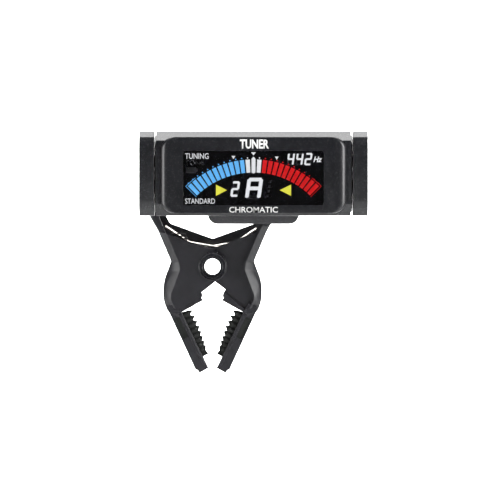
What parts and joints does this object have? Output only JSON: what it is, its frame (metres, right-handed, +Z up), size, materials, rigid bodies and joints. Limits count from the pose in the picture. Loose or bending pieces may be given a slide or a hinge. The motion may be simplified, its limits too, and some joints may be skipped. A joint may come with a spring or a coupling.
{
  "type": "clip-on tuner",
  "caption": "Clip-on instrument tuner with a colour display that tilts in a yoke, swivelling on a spring-loaded clamp with ribbed rubber pads.",
  "frame": {"origin": "centre of the grip, halfway between the two rubber pads and halfway through the clip's depth", "axes": "+X to the right as the user reads the screen, +Y away from the user, +Z up from the jaws' tips towards the display"},
  "size_m": [0.072, 0.0428, 0.0768],
  "materials": {
    "housing_plastic": "fine textured charcoal with a faint sparkle",
    "lens_glass": "clear gloss",
    "lcd_black": "gloss",
    "frame_white": "matte",
    "light_guide": "gloss",
    "board_green": "solder mask",
    "chip_black": "matte",
    "switch_body": "matte",
    "screw_steel": "satin",
    "pin_steel": "satin",
    "contact_metal": "nickel plated",
    "spring_steel": "nickel plated",
    "piezo_brass": "satin",
    "piezo_ceramic": "matte",
    "wire_red": "satin",
    "cell_jacket": "satin",
    "button_grey": "satin",
    "washer_nylon": "satin",
    "clip_plastic": "satin moulded",
    "pad_rubber": "matte",
    "sleeve_plastic": "satin"
  },
  "bodies": {
    "clip": {"right_jaw": "clip_plastic", "right_pad": "pad_rubber", "pivot_sleeve": "sleeve_plastic", "torsion_spring": "spring_steel", "swivel_screw": "pin_steel", "swivel_spring_washer": "pin_steel", "swivel_friction_washer": "washer_nylon"},
    "moving_jaw": {"left_jaw": "clip_plastic", "left_pad": "pad_rubber"},
    "yoke": {"yoke_frame": "housing_plastic", "left_arm_cover": "housing_plastic", "right_arm_cover": "housing_plastic", "swivel_cap": "housing_plastic"},
    "display": {"front_housing": "housing_plastic", "rear_housing": "housing_plastic", "display_lens": "lens_glass", "lcd_panel": "lcd_black", "lcd_frame": "frame_white", "backlight_guide": "light_guide", "main_board": "board_green", "board_chips": "chip_black", "tact_switches": "switch_body", "board_screws": "screw_steel", "housing_screws": "screw_steel", "piezo_plate": "piezo_brass", "piezo_ceramic": "piezo_ceramic", "piezo_leads": "wire_red", "battery_cell": "cell_jacket", "battery_plus_contact": "contact_metal", "battery_minus_spring": "contact_metal", "left_hinge_pin": "pin_steel", "right_hinge_pin": "pin_steel", "hinge_spring_washers": "pin_steel"},
    "cover": {"battery_cover": "housing_plastic"},
    "power": {"power_button": "button_grey"},
    "mode": {"mode_button": "button_grey"},
    "calibration_down": {"calibration_down_button": "button_grey"},
    "calibration_up": {"calibration_up_button": "button_grey"}
  },
  "joints": [
    {"name": "jaw_pivot", "type": "hinge", "parent": "clip", "child": "moving_jaw", "pos_m": [0, 0, 0.0206], "axis": [0, 1, 0], "range_deg": [0, 28], "stiffness_Nm_per_rad": 0.4, "springref_deg": -22.92, "deforming": ["torsion_spring"]},
    {"name": "clip_swivel", "type": "hinge", "parent": "clip", "child": "yoke", "pos_m": [0.0131, -0.0084, 0.0446], "axis": [0, 1, 0], "continuous": true},
    {"name": "display_tilt", "type": "hinge", "parent": "yoke", "child": "display", "pos_m": [0.0131, -0.026, 0.05], "axis": [1, 0, 0], "range_deg": [-90, 90]},
    {"name": "battery_cover_slide", "type": "slide", "parent": "display", "child": "cover", "axis": [0, 0, -1], "range_m": [0, 0.004]},
    {"name": "power_press", "type": "slide", "parent": "display", "child": "power", "axis": [0, 0, -1], "range_m": [0, 0.0003], "stiffness_N_per_m": 400, "springref_m": -0.002},
    {"name": "mode_press", "type": "slide", "parent": "display", "child": "mode", "axis": [0, 0, -1], "range_m": [0, 0.0003], "stiffness_N_per_m": 400, "springref_m": -0.002},
    {"name": "calibration_down_press", "type": "slide", "parent": "display", "child": "calibration_down", "axis": [0, 0, -1], "range_m": [0, 0.0003], "stiffness_N_per_m": 400, "springref_m": -0.002},
    {"name": "calibration_up_press", "type": "slide", "parent": "display", "child": "calibration_up", "axis": [0, 0, -1], "range_m": [0, 0.0003], "stiffness_N_per_m": 400, "springref_m": -0.002}
  ]
}
